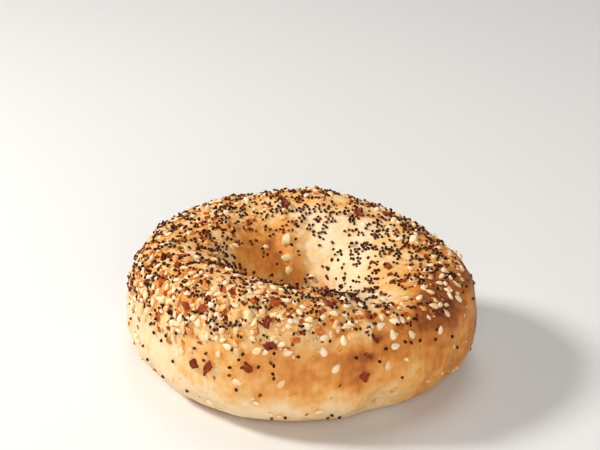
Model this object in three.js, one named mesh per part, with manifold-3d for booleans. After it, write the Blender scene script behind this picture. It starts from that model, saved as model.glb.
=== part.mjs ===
// A bagel with everything on it: one ring of boiled and baked dough whose crown and
// shoulders carry sesame seeds, toasted onion flakes and bits of dried garlic.
// Millimetres, +Z up. Angles are degrees round the hole: 0 is the right side, 90 the
// back, 270 the front. The flat foot of the ring lies on z = 0 and the hole runs
// right through along Z.

import * as THREE from 'three';
import { mergeVertices } from 'three/addons/utils/BufferGeometryUtils.js';
import Module from 'manifold-3d';

const wasm = await Module();
wasm.setup();

// Ring of dough, seen from above: mean radii, and how hand rolling pulled it out of round
const OUTER_RADIUS = 52.4;
const OVAL = 3.3;
const OVAL_AT = -20;
const CORNER = 1.8;
const CORNER_AT = 9;
const CREST_RADIUS = 36.3;
const HOLE_RADIUS = 12.8;
const HOLE_DRIFT = 1.6;
const HOLE_DRIFT_AT = 180;
const CENTRE_X = -1.4;
const CENTRE_Y = 0.7;

// Ring of dough, seen from the side: the left is taller than the right
const HEIGHT = 39.4;
const HEIGHT_LEAN = 2.3;
const HEIGHT_LEAN_AT = 167;
const HEIGHT_SAG = 2.1;
const HEIGHT_SAG_AT = 69;
const WAIST_HEIGHT = 15.6;
const WAIST_LEAN = 0.9;
const HOLE_WAIST_HEIGHT = 19;

// Section through the dough: flat foot, round belly, full shoulder, sloping hole wall
const FOOT_OUTER_INSET = 15;
const FOOT_INNER_INSET = 9;
const SHOULDER_FULLNESS = 2.6;
const CORE_HEIGHT = 18;

// Swells and dents left by rolling, joining and baking. `at` and `climb` place each one
// round the ring and up the section, `turn` and `rise` are its half widths, `out` its height.
const SWELLS = [
  { at: 301, climb: 0.5, turn: 7, rise: 0.4, out: -2.7 },
  { at: 306, climb: 0.95, turn: 5, rise: 0.25, out: -0.8 },
  { at: 301, climb: 1.45, turn: 3.6, rise: 0.12, out: -1.9 },
  { at: 291, climb: 1.38, turn: 7, rise: 0.16, out: 1.1 },
  { at: 318, climb: 1.6, turn: 8, rise: 0.15, out: 0.6 },
  { at: 293, climb: 1.66, turn: 9, rise: 0.08, out: -0.7 },
  { at: 324, climb: 1.12, turn: 12, rise: 0.1, out: -0.6 },
  { at: 97, climb: 2.75, turn: 6, rise: 0.5, out: 1.3 },
  { at: 112, climb: 2.85, turn: 8, rise: 0.45, out: -1.2 },
  { at: 40, climb: 2.5, turn: 30, rise: 0.35, out: -1.0 },
  { at: 310, climb: 2.1, turn: 13, rise: 0.42, out: -2.6 },
  { at: 330, climb: 2.3, turn: 17, rise: 0.34, out: -2.0 },
  { at: 150, climb: 1.5, turn: 22, rise: 0.4, out: -0.7 },
  { at: 172, climb: 1.35, turn: 10, rise: 0.25, out: -0.5 },
  { at: 38, climb: 1.68, turn: 12, rise: 0.3, out: -0.9 },
  { at: 106, climb: 1.8, turn: 17, rise: 0.35, out: -1.1 },
  { at: 217, climb: 1.1, turn: 20, rise: 0.5, out: -0.9 },
  { at: 20, climb: 1.55, turn: 10, rise: 0.14, out: -0.6 },
  { at: 130, climb: 1.4, turn: 12, rise: 0.25, out: -0.7 },
  { at: 60, climb: 1.3, turn: 14, rise: 0.3, out: 0.7 },
];
const SWELL_SETTLES = 5;

// Mesh of the ring: stations round it, and steps up each quarter of its section
const STATIONS = 76;
const QUARTER_STEPS = [5, 6, 5, 3];

// Toppings, largest first. `rim` and `crown` are heights above the crust, and the foot
// sunk in the crust is a little smaller than the rim.
const TOPPING_SINK = 0.7;
const ONION = { sides: 6, length: 3.0, width: 2.1, rim: 0.85, crown: 0.7, taper: 0, rough: 0.3 };
const GARLIC = { sides: 5, length: 2.4, width: 1.9, rim: 0.7, crown: 1.0, taper: 0, rough: 0.25 };
const SESAME = { sides: 6, length: 3.0, width: 1.9, rim: 0.3, crown: 0.75, taper: 0.3, rough: 0 };
const FOOT_SHARE = 0.85;
const SIZE_SPREAD = 0.3;
const NAMED_SIZE = 1.1;

// Toppings that stand out from the front, each [angle, climb, spin]
const FRONT_ONION = [
  [239, 1.08, 50], [233, 1.07, 120], [254, 1.13, 80], [261, 1.33, 20], [293, 1.05, 60],
  [352, 2.2, 30], [51, 2.12, 140], [97, 2.2, 120], [192, 1.88, 50],
];
const FRONT_GARLIC = [
  [101, 2.57, 80], [102, 2.73, 10], [100, 2.84, 60], [37, 2.43, 0], [166, 1.62, 30],
];
const FRONT_SESAME = [
  [283, 1.15, 55], [265, 1.05, 50], [257, 1.28, 45], [267, 1.28, 20], [279, 1.3, 110],
  [302, 1.1, 70], [305, 1.27, 0], [312, 1.35, 125], [305, 1.4, 90], [307, 1.55, 150],
  [327, 1.57, 140], [341, 1.45, 120], [333, 1.75, 90], [336, 1.85, 20], [343, 1.85, 0],
  [352, 1.75, 5], [324, 1.28, 100], [250, 1.03, 0], [278, 0.7, 0],
];

// Scattered toppings: how many of each, how far apart, and the seed of the draw
const ONION_COUNT = 28;
const GARLIC_COUNT = 34;
const SESAME_COUNT = 106;
const TOPPING_GAP = 3.7;
const ONION_SEED = 2027;
const GARLIC_SEED = 5113;
const SESAME_SEED = 9241;
const LOWEST_CLIMB = 1.0;
const HIGHEST_CLIMB = 2.95;

// How thickly they lie: from the edge of the covered crown up, an edge that is lower on the
// left, thinning from the crest down into the hole, and thickest over the front left
const COVER_EDGE = 1.3;
const COVER_EDGE_LEAN = 0.16;
const COVER_STARTS = -0.12;
const COVER_FULL = 0.28;
const COVER_THINS_FROM = 1.75;
const COVER_THINS_TO = 2.5;
const COVER_SHARE = 0.6;
const COVER_LEAN = 0.25;
const COVER_LEAN_AT = 225;
const COVER_PATCH = 0.12;
const COVER_PATCH_AT = 60;
const COVER_STRAYS = 0.01;

// Lehmer's rule for even draws
const DRAW_FACTOR = 16807;
const DRAW_RANGE = 2147483647;

// Steps round the ring and up the section that give the slope of the crust at a place
const SLOPE_TURN = 1;
const SLOPE_CLIMB = 0.01;

const CRUST_COLOUR = 0xd9a066;
const CRUST_ROUGHNESS = 0.55;

const { cos, sin, pow, exp, hypot, floor, PI } = Math;

function wave(angle, folds, size, at) {
  return size * cos(folds * THREE.MathUtils.degToRad(angle - at));
}

// Fall-off of a swell round the ring, where 359 degrees is beside 0
function nearness(angle, at, turn) {
  const away = ((((angle - at + 180) % 360) + 360) % 360) - 180;
  return exp(-pow(away / turn, 2));
}

// Radius and height of the plain section. climb runs 0 at the foot's outer edge, 1 at the
// widest place, 2 on the crest, 3 at the narrowest place of the hole, 4 at the foot again.
function section(angle, climb) {
  const outer = OUTER_RADIUS + wave(angle, 2, OVAL, OVAL_AT) + wave(angle, 3, CORNER, CORNER_AT);
  const height = HEIGHT + wave(angle, 1, HEIGHT_LEAN, HEIGHT_LEAN_AT)
    + wave(angle, 2, HEIGHT_SAG, HEIGHT_SAG_AT);
  const hole = HOLE_RADIUS + wave(angle, 1, HOLE_DRIFT, HOLE_DRIFT_AT);
  const waist = WAIST_HEIGHT + wave(angle, 1, WAIST_LEAN, 0);
  const quarter = Math.min(floor(climb), 3);
  const turn = (climb - quarter) * PI / 2;
  const full = 2 / SHOULDER_FULLNESS;
  if (quarter === 0) {
    return [outer - FOOT_OUTER_INSET * (1 - sin(turn)), waist * (1 - cos(turn))];
  }
  if (quarter === 1) {
    return [CREST_RADIUS + (outer - CREST_RADIUS) * pow(Math.max(cos(turn), 0), full),
      waist + (height - waist) * pow(sin(turn), full)];
  }
  if (quarter === 2) {
    return [CREST_RADIUS - (CREST_RADIUS - hole) * sin(turn),
      HOLE_WAIST_HEIGHT + (height - HOLE_WAIST_HEIGHT) * cos(turn)];
  }
  return [hole + FOOT_INNER_INSET * (1 - cos(turn)), HOLE_WAIST_HEIGHT * (1 - sin(turn))];
}

// Point on the crust: the section pushed away from the heart of the dough by the swells,
// which settle to nothing at the foot so that it stays flat
function crust(angle, climb) {
  const [radius, height] = section(angle, climb);
  const swell = SWELLS.reduce((sum, { at, climb: middle, turn, rise, out }) => (
    sum + out * nearness(angle, at, turn) * exp(-pow((climb - middle) / rise, 2))
  ), 0) * Math.min(height / SWELL_SETTLES, 1);
  const away = hypot(radius - CREST_RADIUS, height - CORE_HEIGHT);
  const grown = radius + swell * (radius - CREST_RADIUS) / away;
  const round = THREE.MathUtils.degToRad(angle);
  return new THREE.Vector3(
    CENTRE_X + grown * cos(round),
    CENTRE_Y + grown * sin(round),
    height + swell * (height - CORE_HEIGHT) / away,
  );
}

// Dough: rows of points round the ring, joined by two triangles a patch. The last row
// joins the first across the foot.
function ringGeometry() {
  const climbs = QUARTER_STEPS.flatMap((steps, quarter) => (
    Array.from({ length: steps }, (_, step) => quarter + step / steps)
  ));
  climbs.push(4);
  const rows = climbs.length;
  const points = [];
  const faces = [];
  for (let station = 0; station < STATIONS; station += 1) {
    climbs.forEach((climb, row) => {
      points.push(...crust(station * 360 / STATIONS, climb));
      const next = (row + 1) % rows;
      const here = station * rows;
      const beside = ((station + 1) % STATIONS) * rows;
      faces.push(here + row, beside + row, beside + next);
      faces.push(here + row, beside + next, here + next);
    });
  }
  const geometry = new THREE.BufferGeometry();
  geometry.setAttribute('position', new THREE.Float32BufferAttribute(points, 3));
  geometry.setIndex(faces);
  return geometry;
}

// Even draws between 0 and 1 from a seed
function draws(seed) {
  let state = seed;
  return () => {
    state = (state * DRAW_FACTOR) % DRAW_RANGE;
    return state / DRAW_RANGE;
  };
}

// How thickly toppings lie at a place, 0 to 1: hardly any on the belly and in the hole
function cover(angle, climb) {
  const edge = COVER_EDGE + wave(angle, 1, COVER_EDGE_LEAN, 0);
  const onto = THREE.MathUtils.smoothstep(climb, edge + COVER_STARTS, edge + COVER_FULL);
  const inside = 1 - THREE.MathUtils.smoothstep(climb, COVER_THINS_FROM, COVER_THINS_TO);
  const patches = COVER_SHARE + wave(angle, 1, COVER_LEAN, COVER_LEAN_AT)
    + wave(angle, 2, COVER_PATCH, COVER_PATCH_AT);
  return onto * inside * patches + COVER_STRAYS;
}

// Places for one kind of topping, those named first and the rest drawn, none nearer than
// the gap to any place already taken
function placed(named, count, seed, taken) {
  const draw = draws(seed);
  const places = named.map(([angle, climb, spin]) => ({ angle, climb, spin, size: NAMED_SIZE }));
  places.forEach(({ angle, climb }) => taken.push(crust(angle, climb)));
  while (places.length < count + named.length) {
    const angle = 360 * draw();
    const climb = LOWEST_CLIMB + (HIGHEST_CLIMB - LOWEST_CLIMB) * draw();
    const chance = draw();
    const spin = 180 * draw();
    const size = 1 + SIZE_SPREAD * (draw() - 0.5);
    const point = crust(angle, climb);
    const wanted = chance < cover(angle, climb) * section(angle, climb)[0] / OUTER_RADIUS;
    if (wanted && taken.every((other) => other.distanceTo(point) > TOPPING_GAP)) {
      places.push({ angle, climb, spin, size });
      taken.push(point);
    }
  }
  return places;
}

// A topping lying on its own ground, z up: a many-sided foot under the crust, a rim and
// one point in the middle of its top. taper narrows one end into a seed's tip.
function toppingGeometry({ sides, length, width, rim, crown, taper, rough }, size, draw) {
  const points = [];
  const faces = [];
  for (let side = 0; side < sides; side += 1) {
    const turn = 2 * PI * side / sides;
    const reach = size * (1 - rough * draw());
    const x = reach * length / 2 * cos(turn);
    const y = reach * width / 2 * sin(turn) * (1 - taper * cos(turn));
    points.push(FOOT_SHARE * x, FOOT_SHARE * y, -TOPPING_SINK, x, y, rim * (1 - rough * draw()));
  }
  const top = points.length / 3;
  points.push(0, 0, crown);
  for (let side = 0; side < sides; side += 1) {
    const low = 2 * side;
    const next = 2 * ((side + 1) % sides);
    faces.push(low, next, next + 1, low, next + 1, low + 1, low + 1, next + 1, top);
    if (side > 0 && side < sides - 1) faces.push(0, next, low);
  }
  const geometry = new THREE.BufferGeometry();
  geometry.setAttribute('position', new THREE.Float32BufferAttribute(points, 3));
  geometry.setIndex(faces);
  return geometry;
}

// Turn a topping by its spin and set it on the crust, flat side down
function setOnCrust(geometry, { angle, climb, spin }) {
  const along = crust(angle + SLOPE_TURN, climb).sub(crust(angle - SLOPE_TURN, climb)).normalize();
  const upward = crust(angle, climb + SLOPE_CLIMB).sub(crust(angle, climb - SLOPE_CLIMB)).normalize();
  const outward = along.clone().cross(upward).normalize();
  const frame = new THREE.Matrix4().makeBasis(along, outward.clone().cross(along), outward);
  frame.setPosition(crust(angle, climb));
  geometry.rotateZ(THREE.MathUtils.degToRad(spin));
  return geometry.applyMatrix4(frame);
}

function toSolid(geometry) {
  geometry.deleteAttribute('normal');
  geometry.deleteAttribute('uv');
  const merged = mergeVertices(geometry);
  return new wasm.Manifold(new wasm.Mesh({
    numProp: 3,
    vertProperties: new Float32Array(merged.attributes.position.array),
    triVerts: new Uint32Array(merged.index.array),
  }));
}

function toGeometry(solid) {
  const { vertProperties, triVerts } = solid.getMesh();
  const geometry = new THREE.BufferGeometry();
  geometry.setAttribute('position', new THREE.BufferAttribute(vertProperties, 3));
  geometry.setIndex(new THREE.BufferAttribute(triVerts, 1));
  geometry.computeVertexNormals();
  return geometry;
}

const taken = [];
const scattered = [
  [ONION, placed(FRONT_ONION, ONION_COUNT, ONION_SEED, taken), ONION_SEED],
  [GARLIC, placed(FRONT_GARLIC, GARLIC_COUNT, GARLIC_SEED, taken), GARLIC_SEED],
  [SESAME, placed(FRONT_SESAME, SESAME_COUNT, SESAME_SEED, taken), SESAME_SEED],
];

let baked = toSolid(ringGeometry());
scattered.forEach(([kind, places, seed]) => {
  const draw = draws(seed + 1);
  places.forEach((place) => {
    const topping = toppingGeometry(kind, place.size, draw);
    baked = baked.add(toSolid(setOnCrust(topping, place)));
  });
});

const bakedCrust = new THREE.MeshStandardMaterial({
  color: CRUST_COLOUR,
  roughness: CRUST_ROUGHNESS,
  metalness: 0,
});
const bagel = new THREE.Mesh(toGeometry(baked), bakedCrust);
bagel.name = 'bagel';

const part = new THREE.Group();
part.name = 'everything_bagel';
part.add(bagel);

export default part;
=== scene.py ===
import bpy
import numpy as np
from mathutils import Matrix, Vector
from mathutils.bvhtree import BVHTree
from mathutils.kdtree import KDTree


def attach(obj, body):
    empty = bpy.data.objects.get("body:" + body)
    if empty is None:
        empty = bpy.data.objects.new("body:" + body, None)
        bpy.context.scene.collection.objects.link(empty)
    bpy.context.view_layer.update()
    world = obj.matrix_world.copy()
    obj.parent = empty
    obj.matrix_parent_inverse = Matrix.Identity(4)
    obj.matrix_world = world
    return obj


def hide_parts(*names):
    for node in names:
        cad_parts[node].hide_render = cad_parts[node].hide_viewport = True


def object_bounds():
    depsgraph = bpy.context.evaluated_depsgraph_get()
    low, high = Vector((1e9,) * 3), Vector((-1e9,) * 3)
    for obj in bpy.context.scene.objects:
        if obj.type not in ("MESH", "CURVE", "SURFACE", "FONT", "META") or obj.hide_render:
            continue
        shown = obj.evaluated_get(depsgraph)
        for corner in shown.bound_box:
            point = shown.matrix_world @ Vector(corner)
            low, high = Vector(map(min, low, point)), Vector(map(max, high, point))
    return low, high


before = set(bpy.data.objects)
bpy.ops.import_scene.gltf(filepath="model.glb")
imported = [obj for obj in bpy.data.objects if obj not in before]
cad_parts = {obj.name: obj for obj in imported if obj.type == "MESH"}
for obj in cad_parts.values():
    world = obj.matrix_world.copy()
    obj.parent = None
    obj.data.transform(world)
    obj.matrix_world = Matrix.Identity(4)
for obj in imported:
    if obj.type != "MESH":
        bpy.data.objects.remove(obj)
cad_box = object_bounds()
box_low, box_high = np.array(cad_box)

# Ring of dough. A rope of wheat dough is rolled by hand, joined into a ring, boiled and
# baked on its foot, so it is a little oval, taller at the left, with a full shoulder, a
# sloping hole wall and a fold where its ends were pressed together.

# Lengths are in mm and angles in degrees
MM = 0.001
OUTER_RADIUS = 52.4
CREST_RADIUS = 36.3
HOLE_RADIUS = 12.8
CENTRE = (-1.4, 0.7)
HEIGHT = 39.4
WAIST_HEIGHT = 15.6
HOLE_WAIST_HEIGHT = 19
FOOT_OUTER_INSET = 15
FOOT_INNER_INSET = 9
SHOULDER_FULLNESS = 2.6
CORE_HEIGHT = 18
SWELL_SETTLES = 5

# Waves round the ring: how many, how high, where one of them is highest
OUTER_WAVES = [(2, 3.3, -20), (3, 1.8, 9)]
HEIGHT_WAVES = [(1, 2.3, 167), (2, 2.1, 69)]
HOLE_WAVES = [(1, 1.6, 180)]
WAIST_WAVES = [(1, 0.9, 0)]

# Swells and dents: where round the ring, where up the section, half widths, height
SWELLS = [
    (301, 0.5, 7, 0.4, -2.7),
    (306, 0.95, 5, 0.25, -0.8),
    (301, 1.45, 3.6, 0.12, -1.9),
    (291, 1.38, 7, 0.16, 1.1),
    (318, 1.6, 8, 0.15, 0.6),
    (293, 1.66, 9, 0.08, -0.7),
    (324, 1.12, 12, 0.1, -0.6),
    (97, 2.75, 6, 0.5, 1.3),
    (112, 2.85, 8, 0.45, -1.2),
    (40, 2.5, 30, 0.35, -1.0),
    (310, 2.1, 13, 0.42, -2.6),
    (330, 2.3, 17, 0.34, -2.0),
    (150, 1.5, 22, 0.4, -0.7),
    (172, 1.35, 10, 0.25, -0.5),
    (38, 1.68, 12, 0.3, -0.9),
    (106, 1.8, 17, 0.35, -1.1),
    (217, 1.1, 20, 0.5, -0.9),
    (20, 1.55, 10, 0.14, -0.6),
    (130, 1.4, 12, 0.25, -0.7),
    (60, 1.3, 14, 0.3, 0.7),
]

# Creases, a puckered crater and ridges that show on the skin alone, as above
SKIN_MARKS = [
    (299.5, 1.44, 2.4, 0.09, -2.2),
    (295.5, 1.44, 1.3, 0.13, 1.5),
    (289, 1.36, 4, 0.12, 0.9),
    (292, 1.22, 6, 0.035, -0.5),
    (302, 1.27, 3, 0.05, -0.5),
    (285, 1.47, 3, 0.05, -0.6),
    (304, 1.52, 3, 0.06, 0.5),
    (87, 2.72, 6, 0.45, 0.8),
    (338, 1.27, 1.0, 0.09, 0.45),
    (335, 1.25, 1.2, 0.1, -0.3),
    (307, 1.1, 1.0, 0.06, 0.3),
    (311, 1.12, 1.1, 0.06, 0.3),
    (309, 1.11, 1.0, 0.07, -0.3),
    (16, 1.5, 9, 0.03, 0.45),
    (13, 1.58, 9, 0.03, -0.45),
    (9, 1.66, 9, 0.03, 0.4),
    (2, 1.5, 7, 0.03, -0.35),
    (358, 1.44, 8, 0.035, 0.35),
]

# Fine relief of the skin: wave length and height of lumps, pimples and pores
SKIN_WAVES = [(17, 0.2), (8, 0.13), (3.8, 0.07), (2.2, 0.03)]
SKIN_WAVES_EACH = 22
SKIN_WAVE_SPREAD = (0.75, 1.35)
SKIN_SEED = 411
SKIN_SUNK = 0.15

# The mesh: columns round the ring, points along the girth, where its seam lies under the foot
DOUGH_STATIONS = 400
DOUGH_GIRTH = 200
SEAM_TURN = 110
GIRTH_SAMPLES = 801


def waved(size, waves, angle):
    """A size that varies round the ring by its waves."""
    for folds, swing, at in waves:
        size = size + swing * np.cos(folds * np.radians(angle - at))
    return size


def nearness(angle, at, turn):
    """1 at one angle of the ring, falling to nothing over its half width."""
    away = (angle - at + 180) % 360 - 180
    return np.exp(-((away / turn) ** 2))


def patches(angle, climb, rows, base=0):
    """Soft-edged patches of the crust, each a row as in the swells, added to a base."""
    total = base
    for at, middle, turn, rise, much in rows:
        total = total + much * nearness(angle, at, turn) * np.exp(-(((climb - middle) / rise) ** 2))
    return total


def smooth(value, low, high):
    """A soft step from 0 at the low value to 1 at the high one."""
    share = np.clip((value - low) / (high - low), 0, 1)
    return share * share * (3 - 2 * share)


def section(angle, climb):
    """Radius and height in mm. climb is 0 at the foot's outer edge, 1 at the widest
    place, 2 on the crest, 3 at the narrowest place of the hole and 4 at the foot."""
    outer = waved(OUTER_RADIUS, OUTER_WAVES, angle)
    height = waved(HEIGHT, HEIGHT_WAVES, angle)
    hole = waved(HOLE_RADIUS, HOLE_WAVES, angle)
    waist = waved(WAIST_HEIGHT, WAIST_WAVES, angle)
    quarter = np.minimum(np.floor(climb), 3)
    turn = (climb - quarter) * np.pi / 2
    sine, cosine = np.sin(turn), np.maximum(np.cos(turn), 0)
    full = 2 / SHOULDER_FULLNESS
    in_quarter = [quarter == 0, quarter == 1, quarter == 2, quarter == 3]
    radius = np.select(in_quarter, [
        outer - FOOT_OUTER_INSET * (1 - sine),
        CREST_RADIUS + (outer - CREST_RADIUS) * cosine ** full,
        CREST_RADIUS - (CREST_RADIUS - hole) * sine,
        hole + FOOT_INNER_INSET * (1 - cosine),
    ])
    level = np.select(in_quarter, [
        waist * (1 - cosine),
        waist + (height - waist) * sine ** full,
        HOLE_WAIST_HEIGHT + (height - HOLE_WAIST_HEIGHT) * cosine,
        HOLE_WAIST_HEIGHT * (1 - sine),
    ])
    return radius, level


def crust(angle, climb):
    """Points on the crust in mm, with the swells that settle to nothing at the foot."""
    angle, climb = np.broadcast_arrays(np.asarray(angle, float), np.asarray(climb, float))
    radius, level = section(angle, climb)
    swell = patches(angle, climb, SWELLS) * np.minimum(level / SWELL_SETTLES, 1)
    away = np.hypot(radius - CREST_RADIUS, level - CORE_HEIGHT)
    grown = radius + swell * (radius - CREST_RADIUS) / away
    turned = np.radians(angle)
    return np.stack([
        CENTRE[0] + grown * np.cos(turned),
        CENTRE[1] + grown * np.sin(turned),
        level + swell * (level - CORE_HEIGHT) / away,
    ], axis=-1)


def skin_relief(points, waves, seed):
    """Lumps in mm from many crossed waves in random directions."""
    rng = np.random.default_rng(seed)
    relief = np.zeros(len(points))
    for length, size in waves:
        for _ in range(SKIN_WAVES_EACH):
            direction = rng.normal(size=3)
            this_length = length * rng.uniform(*SKIN_WAVE_SPREAD)
            direction *= 2 * np.pi / this_length / np.linalg.norm(direction)
            phase = rng.uniform(0, 2 * np.pi)
            relief += size * np.sqrt(2 / SKIN_WAVES_EACH) * np.sin(points @ direction + phase)
    return relief


def mesh_points(mesh):
    points = np.empty(len(mesh.vertices) * 3)
    mesh.vertices.foreach_get("co", points)
    return points.reshape(-1, 3)


def paint(mesh, name, values):
    attribute = mesh.attributes.new(name, "FLOAT", "POINT")
    attribute.data.foreach_set("value", np.asarray(values, dtype=np.float32))


bpy.ops.object.select_all(action="DESELECT")
bpy.ops.mesh.primitive_torus_add(
    major_segments=DOUGH_STATIONS, minor_segments=DOUGH_GIRTH,
    major_radius=CREST_RADIUS, minor_radius=CORE_HEIGHT,
)
dough = bpy.context.object
dough.name = "dough_ring"
dough.data.name = "dough_ring"

start = mesh_points(dough.data)
angle = np.degrees(np.arctan2(start[:, 1], start[:, 0])) % 360
from_crest = np.hypot(start[:, 0], start[:, 1]) - CREST_RADIUS
share = (np.degrees(np.arctan2(start[:, 2], from_crest)) + SEAM_TURN) % 360 / 360

# Even steps along the girth: up the outside, over the crown, down the hole, across the foot
climbs = np.linspace(0, 4, GIRTH_SAMPLES)
profile = np.stack(section(np.zeros(GIRTH_SAMPLES), climbs), axis=-1)
girth = np.concatenate([[0], np.cumsum(np.linalg.norm(np.diff(profile, axis=0), axis=1))])
across_foot = profile[0, 0] - profile[-1, 0]
whole = girth[-1] + across_foot
climb = np.interp(share * whole, girth, climbs)
on_foot = share * whole > girth[-1]
crossed = np.clip((share * whole - girth[-1]) / across_foot, 0, 1)
shape = crust(angle, climb)
foot_outer = crust(angle, np.zeros_like(angle))
foot_inner = crust(angle, np.full_like(angle, 4.0))
foot = foot_inner + (foot_outer - foot_inner) * crossed[:, None]
shape[on_foot] = foot[on_foot]

outward = shape - np.stack([
    CENTRE[0] + CREST_RADIUS * np.cos(np.radians(angle)),
    CENTRE[1] + CREST_RADIUS * np.sin(np.radians(angle)),
    np.full_like(angle, CORE_HEIGHT),
], axis=-1)
outward /= np.linalg.norm(outward, axis=1)[:, None]
relief = patches(angle, climb, SKIN_MARKS, skin_relief(shape, SKIN_WAVES, SKIN_SEED) - SKIN_SUNK)
relief *= np.clip(shape[:, 2] / SWELL_SETTLES, 0, 1)
shape += outward * relief[:, None]
shape = np.clip(shape, box_low / MM, box_high / MM)
dough.data.vertices.foreach_set("co", (shape * MM).ravel())
dough.data.update()

bpy.ops.object.mode_set(mode="EDIT")
bpy.ops.mesh.select_all(action="SELECT")
bpy.ops.mesh.normals_make_consistent(inside=False)
bpy.ops.object.mode_set(mode="OBJECT")
bpy.ops.object.shade_smooth()

# How far each place is baked, with some patches of painted shade and painted highlight among them:
# 0 is pale dough, 1 is the darkest spots. Each patch: where round the ring, where up the
# section, half widths, how much.
BAKE_LOW = 0.07
BAKE_CROWN = 0.13
BAKE_CROWN_FROM = (1.1, 1.5)
BAKE_CROWN_TO = (2.15, 2.5)
BAKE_AND_SHADE_PATCHES = [
    (325, 1.45, 17, 0.33, 0.47), (338, 1.72, 13, 0.18, 0.38), (350, 1.3, 12, 0.5, 0.24),
    (290, 1.2, 24, 0.17, 0.36), (268, 1.0, 30, 0.2, 0.18), (255, 1.2, 26, 0.16, 0.24),
    # The patch at 132 degrees darkens the back-left wall of the hole: baked tan, and painted shade
    # where that wall lies in shadow
    (215, 1.7, 35, 0.35, 0.07), (316, 2.1, 18, 0.28, -0.24), (132, 2.66, 40, 0.34, 0.5),
    (335, 0.75, 25, 0.4, 0.42), (288, 0.8, 22, 0.25, 0.07), (303, 1.4, 14, 0.3, 0.2),
    # The patch at 299.5 degrees is painted shade in the puckered crater
    (345, 1.95, 18, 0.25, 0.11), (80, 1.2, 60, 0.25, 0.3), (299.5, 1.42, 2.6, 0.09, 0.5),
    # The patch at 295.3 degrees is a painted highlight on the lit ridge beside that crater
    (295.3, 1.43, 1.4, 0.12, -0.42), (315, 1.25, 25, 0.2, 0.08), (318, 1.0, 14, 0.25, 0.08),
    (337, 1.45, 12, 0.18, 0.32), (337, 1.8, 16, 0.15, 0.15), (15, 2.0, 22, 0.15, 0.13),
    (222, 0.75, 38, 0.35, -0.12), (15, 2.6, 38, 0.25, -0.16), (3, 1.35, 10, 0.2, 0.25),
    # The patch at 90 degrees is a painted shadow beside the fold in the hole
    (218, 1.37, 32, 0.14, -0.13), (90, 2.87, 12, 0.12, 0.3), (288, 1.4, 5, 0.09, -0.05),
    (290, 1.24, 9, 0.045, 0.15), (8, 1.52, 14, 0.2, 0.22), (285, 1.55, 14, 0.1, 0.22),
    (310, 0.5, 12, 0.12, 0.2), (205, 0.72, 25, 0.15, -0.08), (0, 1.35, 8, 0.2, 0.2),
    (72, 2.6, 25, 0.15, -0.1), (103, 2.5, 8, 0.1, 0.2), (350, 1.02, 8, 0.15, 0.15),
    (350, 1.3, 5, 0.12, -0.15),
]
BAKE_MOTTLE = [(30, 0.045), (12, 0.05), (5, 0.035), (2.6, 0.025)]
BAKE_SEED = 77

# The foot browns on the board, least at its edges, and fades out just above them
BAKE_FOOT = 0.5
FOOT_EDGE_PALER = 0.45
FOOT_EDGE_SHARE = 0.25
FOOT_MOTTLE = 1.8
FOOT_FADES_BY = 3.0

on_crown = smooth(climb, *BAKE_CROWN_FROM) * (1 - smooth(climb, *BAKE_CROWN_TO))
bake_and_shade = patches(angle, climb, BAKE_AND_SHADE_PATCHES, BAKE_LOW + BAKE_CROWN * on_crown)
mottled = skin_relief(shape, BAKE_MOTTLE, BAKE_SEED)
bake_and_shade += mottled
inward = smooth(np.minimum(crossed, 1 - crossed), 0, FOOT_EDGE_SHARE)
browned = BAKE_FOOT * (1 - FOOT_EDGE_PALER * (1 - inward * on_foot)) + FOOT_MOTTLE * mottled
bake_and_shade += (browned - bake_and_shade) * (1 - smooth(shape[:, 2], 0, FOOT_FADES_BY))
paint(dough.data, "bake_and_shade", np.clip(bake_and_shade, 0, 1))

# Linear colours of the crust from unbaked to darkest
CRUST_COLOURS = [
    (0.02, (0.84, 0.63, 0.38)),
    (0.20, (0.80, 0.50, 0.20)),
    (0.40, (0.76, 0.34, 0.075)),
    (0.58, (0.63, 0.215, 0.030)),
    (0.76, (0.41, 0.11, 0.018)),
    (1.0, (0.14, 0.035, 0.010)),
]
CRUST_ROUGHNESS = 0.5
CRUST_ROUGHNESS_SWING = 0.5
CRUST_SPECULAR = 0.3
CRUST_GLOW = 0.1
CRUST_GLOW_COLOURS = (1.0, 0.5, 0.2)
CRUST_GLOW_DEPTH = 0.002
STREAK_STRETCH = (1, 1, 0.2)


def add_node(tree, kind, **values):
    node = tree.nodes.new(kind)
    for key, value in values.items():
        setattr(node, key, value)
    return node


def ramp(tree, stops):
    """Colour ramp with linear colours given as (place, (r, g, b))."""
    node = tree.nodes.new("ShaderNodeValToRGB")
    elements = node.color_ramp.elements
    while len(elements) < len(stops):
        elements.new(0.5)
    for element, (place, colour) in zip(elements, stops):
        element.position = place
        element.color = (*colour, 1)
    return node


def maths(tree, operation, *terms):
    node = add_node(tree, "ShaderNodeMath", operation=operation)
    for socket, term in zip(node.inputs, terms):
        if isinstance(term, (int, float)):
            socket.default_value = term
        else:
            tree.links.new(term, socket)
    return node.outputs[0]


def noise(tree, coordinates, scale, detail):
    """Noise from 0 to 1 with so many waves to the metre."""
    node = add_node(tree, "ShaderNodeTexNoise")
    node.inputs["Scale"].default_value = scale
    node.inputs["Detail"].default_value = detail
    tree.links.new(coordinates, node.inputs["Vector"])
    return node.outputs["Fac"]


def speckle(tree, coordinates, scale, detail):
    """Noise that swings to both sides of nothing."""
    return maths(tree, "SUBTRACT", noise(tree, coordinates, scale, detail), 0.5)


def mixed_in(tree, value, grain, much):
    return maths(tree, "ADD", value, maths(tree, "MULTIPLY", grain, much))


def finish(name, painted):
    """A new material with its node tree, shader, place and the value painted on the mesh."""
    material = bpy.data.materials.new(name)
    material.use_nodes = True
    tree = material.node_tree
    shader = tree.nodes["Principled BSDF"]
    place = add_node(tree, "ShaderNodeTexCoord").outputs["Object"]
    value = add_node(tree, "ShaderNodeAttribute", attribute_name=painted).outputs["Fac"]
    return material, tree, shader, place, value


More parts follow.
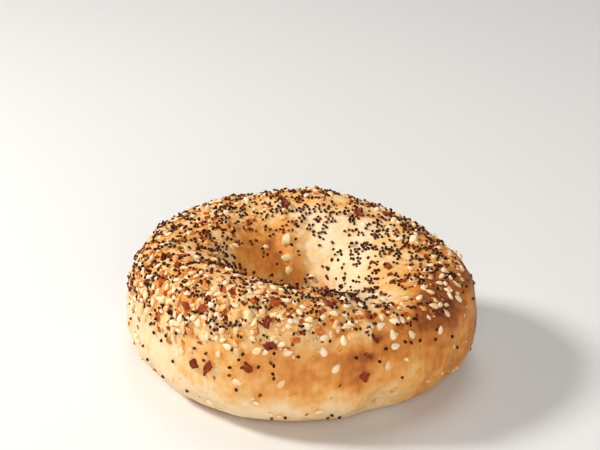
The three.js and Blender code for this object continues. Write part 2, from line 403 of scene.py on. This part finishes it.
def coloured(tree, shader, value, stops):
    colours = ramp(tree, stops)
    tree.links.new(value, colours.inputs["Fac"])
    tree.links.new(colours.outputs["Color"], shader.inputs["Base Color"])


def bumped(tree, shader, height, strength, depth):
    """Fine relief of a finish, with its depth in metres."""
    bump = add_node(tree, "ShaderNodeBump")
    bump.inputs["Strength"].default_value = strength
    bump.inputs["Distance"].default_value = depth
    tree.links.new(height, bump.inputs["Height"])
    tree.links.new(bump.outputs["Normal"], shader.inputs["Normal"])


def baked_crust():
    """Golden boiled skin: colour follows the bake and the painted shade and highlight in it, blotched,
    mottled and finely pored.
    """
    material, tree, shader, place, toned = finish("baked_crust", "bake_and_shade")
    upright = add_node(tree, "ShaderNodeVectorMath", operation="MULTIPLY")
    upright.inputs[1].default_value = STREAK_STRETCH
    tree.links.new(place, upright.inputs[0])
    blotch = speckle(tree, place, scale=90, detail=4)
    mottle = speckle(tree, place, scale=420, detail=6)
    streak = speckle(tree, upright.outputs["Vector"], scale=620, detail=3)
    toned = mixed_in(tree, toned, blotch, much=0.35)
    toned = mixed_in(tree, toned, mottle, much=0.3)
    toned = mixed_in(tree, toned, streak, much=0.3)
    coloured(tree, shader, toned, CRUST_COLOURS)
    rough = maths(tree, "MULTIPLY_ADD", mottle, CRUST_ROUGHNESS_SWING, CRUST_ROUGHNESS)
    tree.links.new(rough, shader.inputs["Roughness"])
    shader.inputs["Specular IOR Level"].default_value = CRUST_SPECULAR
    shader.inputs["Subsurface Weight"].default_value = CRUST_GLOW
    shader.inputs["Subsurface Radius"].default_value = CRUST_GLOW_COLOURS
    shader.inputs["Subsurface Scale"].default_value = CRUST_GLOW_DEPTH
    pores = noise(tree, place, scale=900, detail=5)
    pimples = noise(tree, place, scale=260, detail=3)
    bumped(tree, shader, maths(tree, "ADD", pores, pimples), strength=0.7, depth=0.0004)
    return material


dough.data.materials.clear()
dough.data.materials.append(baked_crust())
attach(dough, "root")
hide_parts("bagel")

# Onion flakes. Dried onion, toasted dark by the oven: thin curled scraps, the largest 3 to
# 4 mm long, stuck to the wet crown before baking and half sunk in the crust.

ONION_LENGTH, ONION_WIDTH = 2.9, 2.0
ONION_COUNT = 28
ONION_SEED = 2027
FRONT_ONION = [
    (239, 1.08, 50), (233, 1.07, 120), (254, 1.13, 80), (261, 1.33, 20), (293, 1.05, 60),
    (352, 2.2, 30), (51, 2.12, 140), (97, 2.2, 120), (192, 1.88, 50),
]

# The large garlic bits take their places before the small onion, which keeps clear of them
GARLIC_COUNT = 34
GARLIC_SEED = 5113
FRONT_GARLIC = [(101, 2.57, 80), (102, 2.73, 10), (100, 2.84, 60), (37, 2.43, 0), (166, 1.62, 30)]

# Large toppings: nearest two, spread of sizes, size of the named ones, lowest and highest
TOPPING_GAP = 3.7
SIZE_SPREAD = 0.3
NAMED_SIZE = 1.1
LOWEST_CLIMB = 1.0
HIGHEST_CLIMB = 2.95
DRAW_FACTOR = 16807
DRAW_PRIME = 2147483647

# How thickly they lie: from low on the shoulder, up over the crown, to inside the hole
COVER_FROM = 1.3
COVER_FROM_WAVES = [(1, 0.16, 0)]
COVER_RISES = (-0.12, 0.28)
COVER_INSIDE = (1.75, 2.5)
COVER_SHARE = 0.6
COVER_WAVES = [(1, 0.25, 225), (2, 0.12, 60)]
COVER_STRAYS = 0.01


def draws(seed):
    """Endless even draws from 0 to 1, the same in every language."""
    state = seed
    while True:
        state = state * DRAW_FACTOR % DRAW_PRIME
        yield state / DRAW_PRIME


def cover(angle, climb):
    """How thickly the large toppings lie, 0 to 1."""
    low = waved(COVER_FROM, COVER_FROM_WAVES, angle)
    onto = smooth(climb, low + COVER_RISES[0], low + COVER_RISES[1])
    inside = 1 - smooth(climb, *COVER_INSIDE)
    return onto * inside * waved(COVER_SHARE, COVER_WAVES, angle) + COVER_STRAYS


def placed(named, count, seed, taken):
    """Places as (angle, climb, spin, size), none nearer than the gap to one taken."""
    draw = draws(seed)
    places = [(*row, NAMED_SIZE) for row in named]
    taken.extend(crust(*row[:2]) for row in named)
    while len(places) < count + len(named):
        angle = 360 * next(draw)
        climb = LOWEST_CLIMB + (HIGHEST_CLIMB - LOWEST_CLIMB) * next(draw)
        chance = next(draw)
        spin = 180 * next(draw)
        size = 1 + SIZE_SPREAD * (next(draw) - 0.5)
        point = crust(angle, climb)
        wanted = chance < cover(angle, climb) * section(angle, climb)[0] / OUTER_RADIUS
        if wanted and np.linalg.norm(np.array(taken) - point, axis=1).min() > TOPPING_GAP:
            places.append((angle, climb, spin, size))
            taken.append(point)
    return places


taken = []
onion_places = placed(FRONT_ONION, ONION_COUNT, ONION_SEED, taken)
garlic_places = placed(FRONT_GARLIC, GARLIC_COUNT, GARLIC_SEED, taken)

# Slopes of the crust are taken over these steps, and seeds fall on it from this height
ANGLE_STEP = 1
CLIMB_STEP = 0.01
FALL_HEIGHT = 8
DARK_TONES = (0.1, 0.3)


def ground(angle, climb, spin):
    """Where a topping stands: point on the crust in mm and its three axes, x along its
    length, z out of the crust."""
    here = crust(angle, climb)
    along = crust(angle + ANGLE_STEP, climb) - crust(angle - ANGLE_STEP, climb)
    along /= np.linalg.norm(along, axis=-1)[..., None]
    upward = crust(angle, climb + CLIMB_STEP) - crust(angle, climb - CLIMB_STEP)
    outward = np.cross(along, upward)
    outward /= np.linalg.norm(outward, axis=-1)[..., None]
    side = np.cross(outward, along)
    turned = np.radians(spin)[..., None]
    length_way = np.cos(turned) * along + np.sin(turned) * side
    return here, np.stack([length_way, np.cross(outward, length_way), outward], axis=-1)


def surface_of(*pieces):
    """One tree of all the faces of some pieces, to find what a seed lands on."""
    points, faces = [], []
    for piece in pieces:
        first = len(points)
        points.extend(tuple(vertex.co) for vertex in piece.data.vertices)
        faces.extend(tuple(first + corner for corner in face.vertices) for face in piece.data.polygons)
    return BVHTree.FromPolygons(points, faces)


def shape_arrays(piece):
    """Takes a modelled topping as arrays of points and faces, and removes the object."""
    bpy.ops.object.mode_set(mode="OBJECT")
    points = mesh_points(piece.data)
    faces = [tuple(face.vertices) for face in piece.data.polygons]
    mesh = piece.data
    bpy.data.objects.remove(piece)
    bpy.data.meshes.remove(mesh)
    return points, faces


def strewn(name, shapes, places, lands_on, sink, tilt, seed, darkest=0):
    """One mesh of a shape at every place, pressed into what it lands on by sink mm. The
    first few, as many as darkest, have a low tone."""
    rng = np.random.default_rng(seed)
    rows = np.array(places)
    here, axes = ground(rows[:, 0], rows[:, 1], rows[:, 2])
    points, faces, tones = [], [], []
    count = 0
    for index, (spot, own_axes, size) in enumerate(zip(here, axes, rows[:, 3])):
        outward = own_axes[:, 2]
        above = Vector((spot + FALL_HEIGHT * outward) * MM)
        hit = lands_on.ray_cast(above, Vector(-outward), 2 * FALL_HEIGHT * MM)[0]
        foot = np.array(hit) / MM if hit is not None else spot
        lean = Matrix.Rotation(rng.normal(0, tilt), 3, "X")
        lean = lean @ Matrix.Rotation(rng.normal(0, tilt), 3, "Y")
        shape_points, shape_faces = shapes[index % len(shapes)]
        turned = own_axes @ np.array(lean)
        standing = (foot - sink * outward + size * shape_points @ turned.T) * MM
        into_box = np.maximum(box_low - standing.min(0), 0)
        standing += into_box - np.maximum(standing.max(0) - box_high, 0)
        points.append(standing)
        faces.extend(tuple(count + corner for corner in face) for face in shape_faces)
        tone = rng.uniform(*DARK_TONES) if index < darkest else rng.random()
        tones.append(np.full(len(shape_points), tone))
        count += len(shape_points)
    mesh = bpy.data.meshes.new(name)
    mesh.from_pydata(np.concatenate(points).tolist(), [], faces)
    mesh.update()
    paint(mesh, "tone", np.concatenate(tones))
    piece = bpy.data.objects.new(name, mesh)
    bpy.context.collection.objects.link(piece)
    return piece


# A flake's crooked outline: width of its ends, stretch, skew, bend and how far points stray;
# then its curls along and across, its thickness and how high its middle lies
ONION_ENDS = (-0.6, 0.3)
ONION_STRETCH = (0.75, 1.15)
ONION_SKEW = (-0.4, 0.4)
ONION_BEND = (-0.12, 0.12)
ONION_STRAY = (0.11, 0.13, 0.1)
ONION_CURL_ALONG = (-0.02, 0.12)
ONION_CURL_ACROSS = (-0.35, 0.5)
ONION_THICK = (0.55, 0.95)
ONION_MIDDLE = 0.3
ONION_SHAPES = (57, 39, 54, 52, 59, 36, 49, 47, 33, 31, 34, 40)


def onion_flake(seed):
    """A curled shard: a small grid with a crooked outline, bent, then given its thickness."""
    rng = np.random.default_rng(seed)
    bpy.ops.mesh.primitive_grid_add(x_subdivisions=5, y_subdivisions=3, size=2)
    flake = bpy.context.object
    flat_x, flat_y, _ = mesh_points(flake.data).T
    count = len(flat_x)
    ends = 1 + rng.uniform(*ONION_ENDS, 2)
    sides = np.where(flat_x > 0, ends[0], ends[1]) * np.abs(flat_x) + 1 - np.abs(flat_x)
    stretch = rng.uniform(*ONION_STRETCH)
    crooked = flat_x + rng.normal(0, ONION_STRAY[0], count)
    x = (crooked + rng.uniform(*ONION_SKEW) * flat_y) * ONION_LENGTH / 2 * stretch
    y = (flat_y * sides + rng.normal(0, ONION_STRAY[1], count)) * ONION_WIDTH / 2 / stretch
    y += rng.uniform(*ONION_BEND) * x ** 2
    curl = rng.uniform(*ONION_CURL_ALONG) * x ** 2 + rng.uniform(*ONION_CURL_ACROSS) * y ** 2
    z = ONION_MIDDLE + curl + rng.normal(0, ONION_STRAY[2], count)
    flake.data.vertices.foreach_set("co", np.stack([x, y, z], axis=-1).ravel())
    thick = flake.modifiers.new("thickness", "SOLIDIFY")
    thick.thickness = rng.uniform(*ONION_THICK)
    thick.offset = 0
    bpy.ops.object.modifier_apply(modifier=thick.name)
    return shape_arrays(flake)


def toasted(name, stops, roughness, specular=0.3):
    """Finish of a topping: each piece has its own tone, and a fine mottle over it."""
    material, tree, shader, place, tone = finish(name, "tone")
    mottle = speckle(tree, place, scale=1100, detail=3)
    coloured(tree, shader, mixed_in(tree, tone, mottle, much=0.7), stops)
    shader.inputs["Roughness"].default_value = roughness
    shader.inputs["Specular IOR Level"].default_value = specular
    grain = noise(tree, place, scale=2400, detail=3)
    bumped(tree, shader, grain, strength=0.22, depth=0.0002)
    return material


# Small toppings: mm of girth to one climb, how thick a patch must be to clump fully, where
# up the section they may fall, tries for each, and a place too far off to be near any
GIRTH_PER_CLIMB = 33
CLUMPS_FROM = 0.4
STREWN_CLIMBS = (0.5, 3.2)
TRIES_EACH = 80
FAR_OFF = 1e3


def gathered(count, thickly, gap, clumping, reach, sizes, seed, clear_of=()):
    """Places drawn where the patches are thick. A share of them falls beside one of the
    clump before, so that they lie in strings, clumps and loners."""
    rng = np.random.default_rng(seed)
    places, clump = [], []
    points = np.full((len(clear_of) + count, 3), FAR_OFF)
    points[:len(clear_of)] = np.array(clear_of).reshape(-1, 3)
    for _ in range(count * TRIES_EACH):
        if len(places) == count:
            break
        if clump and rng.random() < clumping * min(1, thickly(*clump[0][:2]) / CLUMPS_FROM):
            beside = clump[rng.integers(len(clump))]
            turn, away = rng.uniform(0, 2 * np.pi), rng.uniform(*reach)
            angle = beside[0] + np.degrees(away * np.cos(turn) / section(beside[0], beside[1])[0])
            climb = beside[1] + away * np.sin(turn) / GIRTH_PER_CLIMB
        else:
            clump = []
            angle, climb = rng.uniform(0, 360), rng.uniform(*STREWN_CLIMBS)
            if rng.random() > thickly(angle, climb) * section(angle, climb)[0] / OUTER_RADIUS:
                continue
        point = crust(angle, climb)
        if np.linalg.norm(points - point, axis=1).min() < gap:
            continue
        points[len(clear_of) + len(places)] = point
        places.append((angle % 360, climb, rng.uniform(0, 360), rng.uniform(*sizes)))
        clump.append(places[-1])
    return places


DARKENING_ENDS = 2.5


def darken_beside(places, reach, much, seed):
    """Adds to the bake round each place of a topping, so that the skin is darker beside it."""
    rng = np.random.default_rng(seed)
    rows = np.array(places)
    near = KDTree(len(rows))
    for index, point in enumerate(crust(rows[:, 0], rows[:, 1])):
        near.insert(Vector(point), index)
    near.balance()
    darkening = rng.uniform(0, much, len(rows))
    skin = dough.data.attributes["bake_and_shade"].data
    values = np.empty(len(skin), dtype=np.float32)
    skin.foreach_get("value", values)
    for index, point in enumerate(mesh_points(dough.data) / MM):
        _, nearest, away = near.find(Vector(point))
        if away < DARKENING_ENDS * reach:
            values[index] += darkening[nearest] * np.exp(-((away / reach) ** 2))
    skin.foreach_set("value", np.clip(values, 0, 1))


# Where the toppings run down into the hole at its back left, as a patch
INTO_HOLE = [(130, 2.2, 42, 0.25, 1)]
ONION_SHARE = 0.8
ONION_SHARE_WAVES = [(1, 0.2, 190)]
ONION_INTO_HOLE = 0.3
ONION_STRAYS = 0.01


def onion_cover(angle, climb):
    """Small flakes lie all over the crown, a little thicker on the left."""
    crown = cover(angle, climb) * waved(ONION_SHARE, ONION_SHARE_WAVES, angle)
    return crown + ONION_INTO_HOLE * patches(angle, climb, INTO_HOLE) + ONION_STRAYS


onion_shapes = [onion_flake(seed) for seed in ONION_SHAPES]
small_onion = gathered(
    count=760, thickly=onion_cover, gap=1.15, clumping=0.4, reach=(1.15, 2.4),
    sizes=(0.28, 0.62), seed=61, clear_of=taken,
)
dough_surface = surface_of(dough)
onion = strewn(
    "onion_flakes", onion_shapes, onion_places + small_onion, lands_on=dough_surface,
    sink=0.15, tilt=0.22, seed=71, darkest=len(FRONT_ONION),
)
onion.data.materials.append(toasted("toasted_onion", [
    (0.0, (0.12, 0.020, 0.008)),
    (0.30, (0.28, 0.042, 0.010)),
    (0.60, (0.50, 0.11, 0.018)),
    (0.85, (0.68, 0.24, 0.042)),
    (1.0, (0.80, 0.44, 0.12)),
], roughness=0.5, specular=0.12))
darken_beside(onion_places + small_onion, reach=1.6, much=0.2, seed=81)
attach(onion, "root")

# Garlic bits. Dried garlic and white onion, chopped into angular crumbs of 1 to 3 mm,
# cream where they stayed pale and tan to orange where the oven caught them.

GARLIC_LENGTH, GARLIC_WIDTH, GARLIC_HIGH = 2.3, 1.8, 1.4
GARLIC_EDGE_CUT = 0.16
GARLIC_SKEW = (-0.3, 0.3)
GARLIC_STRAY = 0.08
GARLIC_MIDDLE = 0.25
GARLIC_SHAPES = range(51, 61)

# Thickest on the left front and along the back of the crown
GARLIC_PATCHES = [(232, 1.5, 50, 0.3, 0.65), (68, 1.68, 72, 0.22, 1.1)]
GARLIC_SHARE = 0.22
GARLIC_INTO_HOLE = 0.25
GARLIC_STRAYS = 0.012


def garlic_cover(angle, climb):
    crown = cover(angle, climb) * patches(angle, climb, GARLIC_PATCHES, GARLIC_SHARE)
    return crown + GARLIC_INTO_HOLE * patches(angle, climb, INTO_HOLE) + GARLIC_STRAYS


def garlic_crumb(seed):
    """An angular crumb: a cube with its edges cut and its corners pushed about."""
    rng = np.random.default_rng(seed)
    bpy.ops.mesh.primitive_cube_add(size=1)
    crumb = bpy.context.object
    bpy.ops.object.mode_set(mode="EDIT")
    bpy.ops.mesh.select_all(action="SELECT")
    bpy.ops.mesh.bevel(offset=GARLIC_EDGE_CUT, segments=1, affect="EDGES")
    bpy.ops.object.mode_set(mode="OBJECT")
    points = mesh_points(crumb.data)
    skew = np.eye(3) + rng.uniform(*GARLIC_SKEW, (3, 3))
    points = (points + rng.normal(0, GARLIC_STRAY, points.shape)) @ skew
    points = points * (GARLIC_LENGTH, GARLIC_WIDTH, GARLIC_HIGH)
    points[:, 2] += GARLIC_MIDDLE
    crumb.data.vertices.foreach_set("co", points.ravel())
    return shape_arrays(crumb)


def rounded(piece):
    for face in piece.data.polygons:
        face.use_smooth = True


garlic_shapes = [garlic_crumb(seed) for seed in GARLIC_SHAPES]
small_garlic = gathered(
    count=1000, thickly=garlic_cover, gap=1.05, clumping=0.5, reach=(1.05, 2.2),
    sizes=(0.22, 0.62), seed=62, clear_of=taken,
)
garlic = strewn(
    "garlic_bits", garlic_shapes, garlic_places + small_garlic, lands_on=dough_surface,
    sink=0.1, tilt=0.25, seed=72,
)
rounded(garlic)
garlic.data.materials.append(toasted("dried_garlic", [
    (0.0, (0.87, 0.71, 0.44)),
    (0.4, (0.83, 0.60, 0.28)),
    (0.7, (0.76, 0.40, 0.13)),
    (1.0, (0.60, 0.21, 0.05)),
], roughness=0.5))
darken_beside(garlic_places + small_garlic, reach=1.4, much=0.1, seed=82)
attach(garlic, "root")

# Sesame seeds. Hulled white sesame, flat teardrops about 3 mm long, toasted cream to light
# gold, stuck flat side down.

SESAME_LENGTH, SESAME_WIDTH, SESAME_THICK = 3.0, 1.9, 1.15
SESAME_TAPER = 0.3
SESAME_TIP_TAPER = 0.25
SESAME_TIP_FROM = 0.3
SESAME_COUNT = 106
SESAME_SEED = 9241
FRONT_SESAME = [
    (283, 1.15, 55), (265, 1.05, 50), (257, 1.28, 45), (267, 1.28, 20), (279, 1.3, 110),
    (302, 1.1, 70), (305, 1.27, 0), (312, 1.35, 125), (305, 1.4, 90), (307, 1.55, 150),
    (327, 1.57, 140), (341, 1.45, 120), (333, 1.75, 90), (336, 1.85, 20), (343, 1.85, 0),
    (352, 1.75, 5), (324, 1.28, 100), (250, 1.03, 0), (278, 0.7, 0),
]

# Thickest on the left and front shoulder and along the back of the crown
SESAME_PATCHES = [(235, 1.45, 50, 0.3, 0.95), (68, 1.65, 72, 0.22, 1.1)]
SESAME_SHARE = 0.1
SESAME_STRAYS = 0.002


def sesame_cover(angle, climb):
    thick = patches(angle, climb, SESAME_PATCHES, SESAME_SHARE)
    return cover(angle, climb) * thick + SESAME_STRAYS


def sesame_seed():
    """A flat teardrop from a ball: narrowed towards its tip and fuller at the other end."""
    bpy.ops.mesh.primitive_uv_sphere_add(segments=10, ring_count=7, radius=1)
    seed = bpy.context.object
    bpy.ops.transform.rotate(value=np.pi / 2, orient_axis="Y", center_override=(0, 0, 0))
    bpy.ops.object.transform_apply(location=True, rotation=True, scale=True)
    ball_x, ball_y, ball_z = mesh_points(seed.data).T
    tip = np.clip(ball_x - SESAME_TIP_FROM, 0, 1)
    narrow = 1 - SESAME_TAPER * ball_x - SESAME_TIP_TAPER * tip
    x = ball_x * SESAME_LENGTH / 2
    y = ball_y * narrow * SESAME_WIDTH / 2
    z = ball_z * narrow * SESAME_THICK / 2
    seed.data.vertices.foreach_set("co", np.stack([x, y, z], axis=-1).ravel())
    return shape_arrays(seed)


sesame_places = placed(FRONT_SESAME, SESAME_COUNT, SESAME_SEED, taken)
more_sesame = gathered(
    count=225, thickly=sesame_cover, gap=2.1, clumping=0.45, reach=(2.1, 3.2),
    sizes=(0.7, 0.95), seed=63, clear_of=taken,
)
sesame = strewn(
    "sesame_seeds", [sesame_seed()], sesame_places + more_sesame, lands_on=dough_surface,
    sink=-0.25, tilt=0.16, seed=73,
)
rounded(sesame)
sesame.data.materials.append(toasted("white_sesame", [
    (0.0, (0.95, 0.75, 0.51)),
    (0.6, (0.92, 0.66, 0.38)),
    (1.0, (0.83, 0.48, 0.20)),
], roughness=0.35, specular=0.5))
darken_beside(sesame_places + more_sesame, reach=1.8, much=0.1, seed=83)
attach(sesame, "root")

# Poppy seeds. Dark kidney-shaped seeds about a millimetre across, thrown on last, so they
# lie in strings and clumps on the dough and on the other toppings.

POPPY_SIZE = (1.32, 1.08, 0.95)
POPPY_DENT = 0.35
POPPY_DENT_WIDTH = 0.45
POPPY_COUNT = 1850
POPPY_TURN_EACH = 67

# Even over the crown and few on the belly, fewest low on the front
POPPY_FROM = 1.2
POPPY_FROM_WAVES = [(1, 0.12, 0)]
POPPY_RISES = 0.3
POPPY_INSIDE = (2.3, 2.85)
POPPY_SHARE = 0.42
POPPY_STRAYS = 0.008
POPPY_SHOULDER = 0.03
POPPY_SHOULDER_FROM = (1.05, 1.25)
POPPY_BARE = (268, 60)
POPPY_BARE_SHARE = 0.85
POPPY_PATCHES = [
    (20, 2.05, 34, 0.3, 0.8), (275, 2.25, 45, 0.16, 0.2), (215, 1.95, 40, 0.3, 0.12),
    (110, 1.95, 40, 0.2, 0.25), (180, 1.6, 40, 0.3, 0.15), (280, 1.55, 30, 0.2, -0.15),
    (333, 1.7, 16, 0.3, -0.3), (70, 2.7, 70, 0.3, 0.1),
    (132, 2.3, 42, 0.2, 0.35), (8, 1.5, 14, 0.15, -0.3), (48, 1.64, 36, 0.14, -0.38),
]

# Single seeds low on the front, where round the ring and where up the section
FRONT_POPPY = [
    (227.5, 0.69), (205.1, 0.83), (214.6, 0.72), (260.8, 0.5), (266, 0.55), (282.7, 0.57),
    (285.9, 0.49), (249.6, 1.0), (221.8, 1.02), (237.5, 1.03), (332.9, 1.01), (247, 1.06),
    (262.5, 1.08), (262.2, 1.11), (247.2, 1.11), (215.2, 1.11), (237.4, 1.12), (251.7, 1.13),
    (211.2, 1.14), (329.7, 1.14), (257.4, 1.15), (298.7, 1.15), (237.9, 1.17), (262.5, 1.17),
    (233, 1.18), (250.5, 1.18), (261.6, 1.19), (321.2, 1.21), (210.9, 1.21), (290, 1.22),
    (251.9, 1.23), (247.8, 1.25), (270.6, 1.25), (315.1, 1.25), (311.2, 1.26), (301.4, 1.26),
    (262.6, 1.27), (308.9, 1.29), (322.6, 1.3), (268.6, 1.36),
]


def poppy_cover(angle, climb):
    """Even over the crown, thicker in patches, and few on the belly and in the hole."""
    low = waved(POPPY_FROM, POPPY_FROM_WAVES, angle)
    even = POPPY_SHARE * smooth(climb, low, low + POPPY_RISES) * (1 - smooth(climb, *POPPY_INSIDE))
    strays = POPPY_STRAYS + POPPY_SHOULDER * smooth(climb, *POPPY_SHOULDER_FROM)
    strays = strays * (1 - POPPY_BARE_SHARE * nearness(angle, *POPPY_BARE))
    return even + strays + patches(angle, climb, POPPY_PATCHES)


def poppy_seed():
    """A kidney from a ball: flattened, with a dent on one side."""
    bpy.ops.mesh.primitive_uv_sphere_add(segments=8, ring_count=5, radius=1)
    seed = bpy.context.object
    points = mesh_points(seed.data)
    middle = np.exp(-((points[:, 0] / POPPY_DENT_WIDTH) ** 2))
    points[:, 1] -= POPPY_DENT * middle * np.clip(points[:, 1], 0, 1)
    points = points * np.array(POPPY_SIZE) / 2
    seed.data.vertices.foreach_set("co", points.ravel())
    return shape_arrays(seed)


poppy_places = [
    (*place, POPPY_TURN_EACH * index % 360, 1) for index, place in enumerate(FRONT_POPPY)
]
poppy_places += gathered(
    count=POPPY_COUNT, thickly=poppy_cover, gap=0.9, clumping=0.7, reach=(0.9, 1.4),
    sizes=(0.72, 1.06), seed=64, clear_of=[crust(*place) for place in FRONT_POPPY],
)
topped = surface_of(dough, onion, garlic, sesame)
poppy = strewn(
    "poppy_seeds", [poppy_seed()], poppy_places, lands_on=topped, sink=-0.22, tilt=0.4, seed=74,
)
rounded(poppy)
poppy.data.materials.append(toasted("blue_poppy", [
    (0.0, (0.028, 0.008, 0.005)),
    (0.55, (0.068, 0.018, 0.010)),
    (1.0, (0.20, 0.050, 0.020)),
], roughness=0.65, specular=0.07))
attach(poppy, "root")

# Pale floor, soft studio light from the upper left, and a camera 600 mm away and 27 degrees
# above the bagel, tilted up a little so that the bagel lies low in the frame.

FLOOR_SIZE = 12
FLOOR_HEIGHT = -0.0002
FLOOR_COLOUR = (0.78, 0.77, 0.75, 1)
FLOOR_ROUGHNESS = 0.9

bpy.ops.mesh.primitive_plane_add(size=FLOOR_SIZE, location=(0, 0, FLOOR_HEIGHT))
floor = bpy.context.object
floor.name = "floor"
floor_material = bpy.data.materials.new("pale_floor")
floor_material.use_nodes = True
floor_shader = floor_material.node_tree.nodes["Principled BSDF"]
floor_shader.inputs["Base Color"].default_value = FLOOR_COLOUR
floor_shader.inputs["Roughness"].default_value = FLOOR_ROUGHNESS
floor.data.materials.append(floor_material)

LOOK_AT = Vector((CENTRE[0], CENTRE[1], 20)) * MM
WORLD_COLOUR = (1.0, 0.98, 0.96, 1)
WORLD_STRENGTH = 0.16


def soft_box(name, place, size, power, colour):
    """A round studio light that faces the bagel."""
    data = bpy.data.lights.new(name, "AREA")
    data.shape = "DISK"
    data.size = size
    data.energy = power
    data.color = colour
    lamp = bpy.data.objects.new(name, data)
    lamp.location = place
    lamp.rotation_euler = (LOOK_AT - Vector(place)).to_track_quat("-Z", "Y").to_euler()
    bpy.context.collection.objects.link(lamp)


soft_box("key", place=(-0.62, 0.06, 0.52), size=0.18, power=6.1, colour=(1.0, 0.98, 0.95))
soft_box("front_fill", place=(0.1, -0.9, 0.42), size=0.6, power=5.2, colour=(1.0, 0.98, 0.96))
soft_box("top", place=(0.1, 0.3, 1.1), size=0.7, power=3.4, colour=(1.0, 1.0, 1.0))
world = bpy.data.worlds.new("studio")
world.use_nodes = True
background = world.node_tree.nodes["Background"]
background.inputs["Color"].default_value = WORLD_COLOUR
background.inputs["Strength"].default_value = WORLD_STRENGTH
bpy.context.scene.world = world
bpy.context.scene.view_settings.view_transform = "Standard"

CAMERA_AWAY = 0.6
CAMERA_ABOVE = np.radians(27)
CAMERA_PITCH = np.radians(90 - 24.7)
CAMERA_YAW = -0.00204
CAMERA_SENSOR = 36
CAMERA_LENS = 114.5

camera_data = bpy.data.cameras.new("camera")
camera_data.sensor_width = CAMERA_SENSOR
camera_data.lens = CAMERA_LENS
camera = bpy.data.objects.new("camera", camera_data)
camera.location = LOOK_AT + CAMERA_AWAY * Vector((0, -np.cos(CAMERA_ABOVE), np.sin(CAMERA_ABOVE)))
camera.rotation_euler = (CAMERA_PITCH, 0, CAMERA_YAW)
bpy.context.collection.objects.link(camera)
bpy.context.scene.camera = camera
